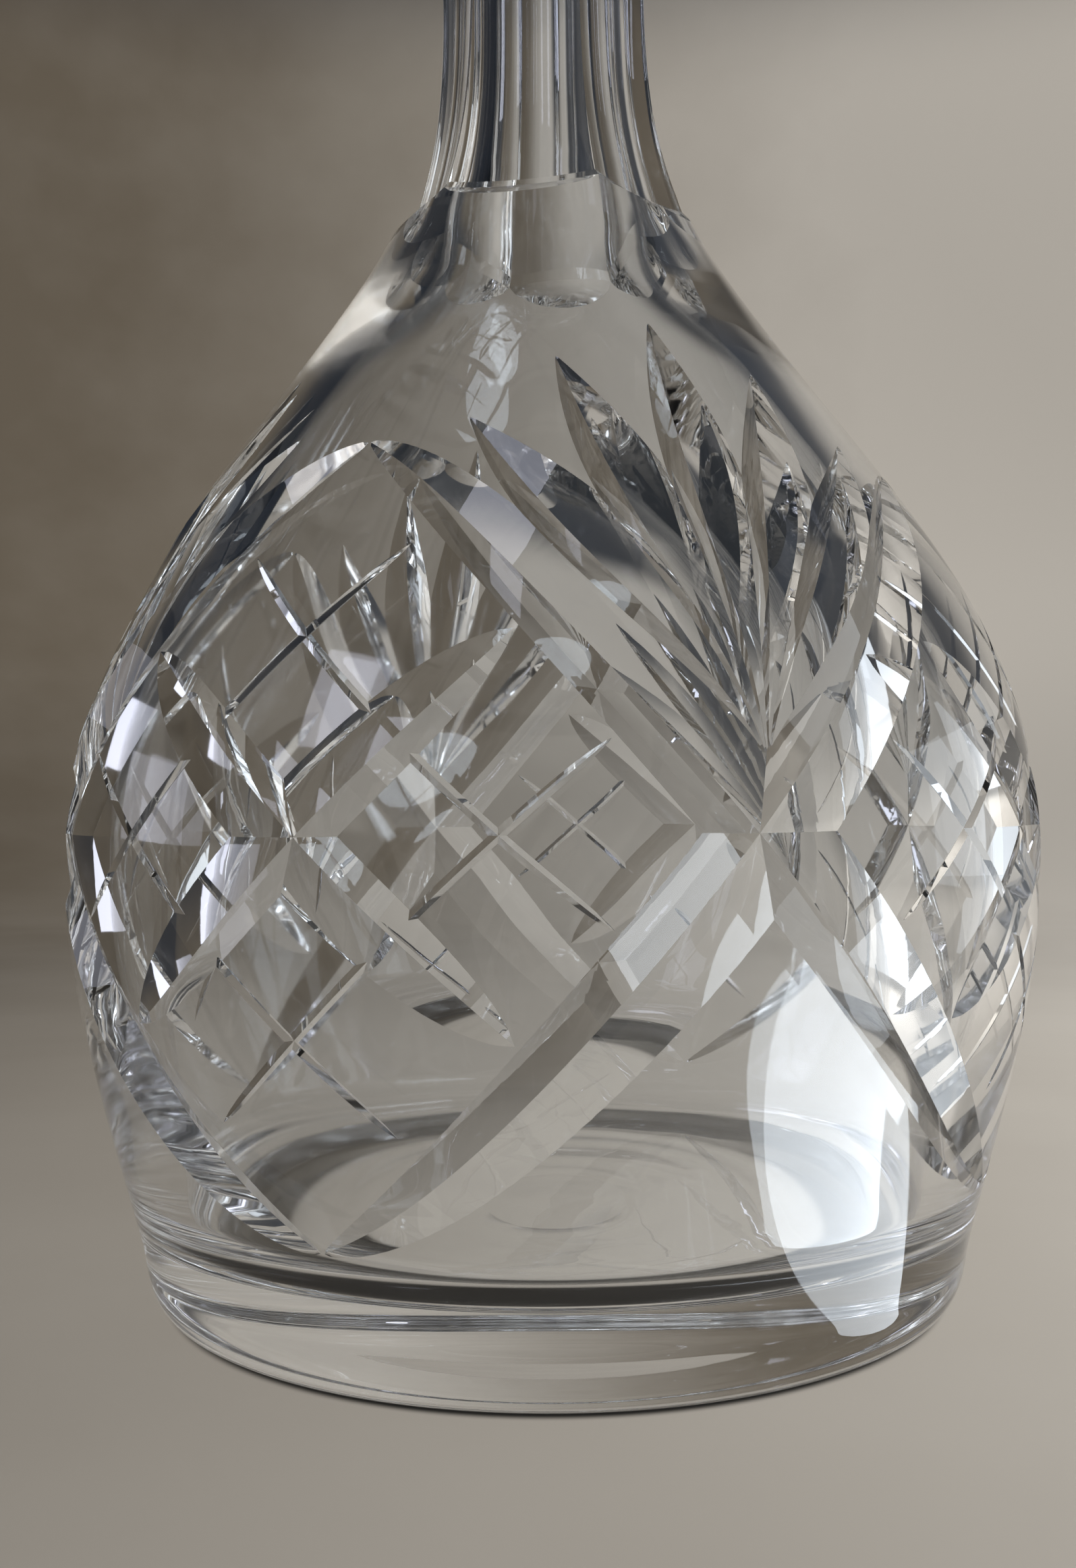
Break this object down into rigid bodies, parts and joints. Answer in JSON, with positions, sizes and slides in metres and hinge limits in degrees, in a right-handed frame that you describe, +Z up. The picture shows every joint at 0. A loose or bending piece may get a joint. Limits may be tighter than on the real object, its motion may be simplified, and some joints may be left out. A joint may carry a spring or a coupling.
{
  "type": "decanter",
  "caption": "Clear cut-crystal decanter with a round body, crossed mitres and fans, a fluted neck and a faceted ball stopper that lifts out.",
  "frame": {"origin": "centre of the standing ring, on the surface that the decanter stands on", "axes": "+Z up along the axis of turning, towards the stopper; a fan of the pattern and a ridge of the neck face -Y"},
  "size_m": [0.1296, 0.1296, 0.2985],
  "materials": {
    "body_crystal": "clear lead crystal, fire-polished, with polished wheel cuts",
    "stopper_crystal": "clear lead crystal with polished facets and a ground peg"
  },
  "bodies": {
    "decanter": {"decanter_body": "body_crystal"},
    "stopper": {"stopper": "stopper_crystal"}
  },
  "joints": [
    {"name": "stopper_lift", "type": "slide", "parent": "decanter", "child": "stopper", "axis": [0, 0, 1], "range_m": [0, 0.05]}
  ]
}
